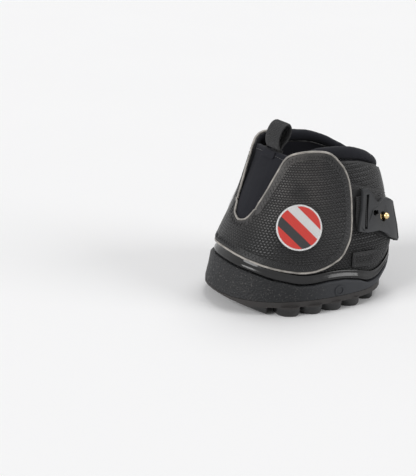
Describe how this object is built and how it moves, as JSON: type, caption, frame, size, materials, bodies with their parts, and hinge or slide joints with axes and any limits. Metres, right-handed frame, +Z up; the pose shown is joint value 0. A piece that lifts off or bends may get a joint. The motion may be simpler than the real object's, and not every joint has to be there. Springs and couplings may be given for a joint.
{
  "type": "horse hoof boot",
  "caption": "Rubber-soled boot for a horse's hoof, with wrap-over closing flaps, padded collar, tongue with pull loop, and a rubber heel strap that hooks over ball studs.",
  "frame": {"origin": "on the ground, under the middle of the boot's outline seen from above", "axes": "+Z up, toe towards -Y, heel towards +Y, the horse's left side of the boot towards +X; the boot is symmetric about the plane X = 0"},
  "size_m": [0.1352, 0.172, 0.1542],
  "materials": {
    "tread_rubber": "moulded, dull plate with polished lugs",
    "cup_rubber": "fine pebbled rubber",
    "gloss_rubber": "glossy",
    "board": "pressed fibre board",
    "foam": "fabric-covered foam",
    "neoprene": "neoprene with knit facing",
    "leather": "synthetic leather, embossed small scales",
    "elastic": "woven elastic",
    "reflective": "reflective piping",
    "hook_loop": "hook-and-loop tape",
    "webbing": "ribbed webbing",
    "strap_rubber": "matte moulded rubber",
    "brass": "polished",
    "steel": "plain",
    "badge": "embroidered patch"
  },
  "bodies": {
    "boot": {"tread": "tread_rubber", "sole_cup": "cup_rubber", "glossy_rim": "gloss_rubber", "insole_board": "board", "footbed": "foam", "toe_box": "leather", "toe_lining": "neoprene", "toe_puff": "foam", "toe_vamp": "leather", "notch_piping": "reflective", "toe_piping": "reflective", "neoprene_lining": "neoprene", "padded_collar": "neoprene", "heel_band": "elastic", "heel_strap": "strap_rubber", "left_quarter": "leather", "left_loop_patch": "hook_loop", "left_side_tab": "leather", "left_stud": "brass", "left_stud_screw": "steel", "right_quarter": "leather", "right_loop_patch": "hook_loop", "right_side_tab": "leather", "right_stud": "brass", "right_stud_screw": "steel"},
    "left_flap": {"left_flap": "leather", "left_flap_piping": "reflective", "left_hook_patch": "hook_loop", "left_badge": "badge"},
    "right_flap": {"right_flap": "leather", "right_flap_piping": "reflective", "right_hook_patch": "hook_loop", "right_badge": "badge"},
    "left_arm": {"left_strap_arm": "strap_rubber", "left_webbing": "webbing"},
    "right_arm": {"right_strap_arm": "strap_rubber", "right_webbing": "webbing"},
    "tongue": {"tongue": "neoprene", "loop_anchor_front": "webbing", "loop_anchor_back": "webbing"},
    "pull_loop": {"pull_loop": "webbing"}
  },
  "joints": [
    {"name": "left_flap_fold", "type": "hinge", "parent": "boot", "child": "left_flap", "pos_m": [0.02123, -0.07271, 0.0486], "axis": [0.0916, -0.4222, -0.9019], "range_deg": [0, 110]},
    {"name": "right_flap_fold", "type": "hinge", "parent": "boot", "child": "right_flap", "pos_m": [-0.02123, -0.07271, 0.0486], "axis": [0.0916, 0.4222, 0.9019], "range_deg": [0, 110]},
    {"name": "left_arm_release", "type": "hinge", "parent": "boot", "child": "left_arm", "pos_m": [0.04642, 0.0761, 0.04499], "axis": [-0.1983, -0.0573, 0.9785], "range_deg": [0, 70]},
    {"name": "right_arm_release", "type": "hinge", "parent": "boot", "child": "right_arm", "pos_m": [-0.04642, 0.0761, 0.04499], "axis": [-0.1983, 0.0573, -0.9785], "range_deg": [0, 70]},
    {"name": "tongue_tilt", "type": "hinge", "parent": "boot", "child": "tongue", "pos_m": [0, -0.06049, 0.06615], "axis": [1, 0, 0], "range_deg": [-7, 0]},
    {"name": "pull_loop_swing", "type": "hinge", "parent": "tongue", "child": "pull_loop", "pos_m": [0, -0.02793, 0.13301], "axis": [1, 0, 0], "range_deg": [-40, 50]}
  ]
}
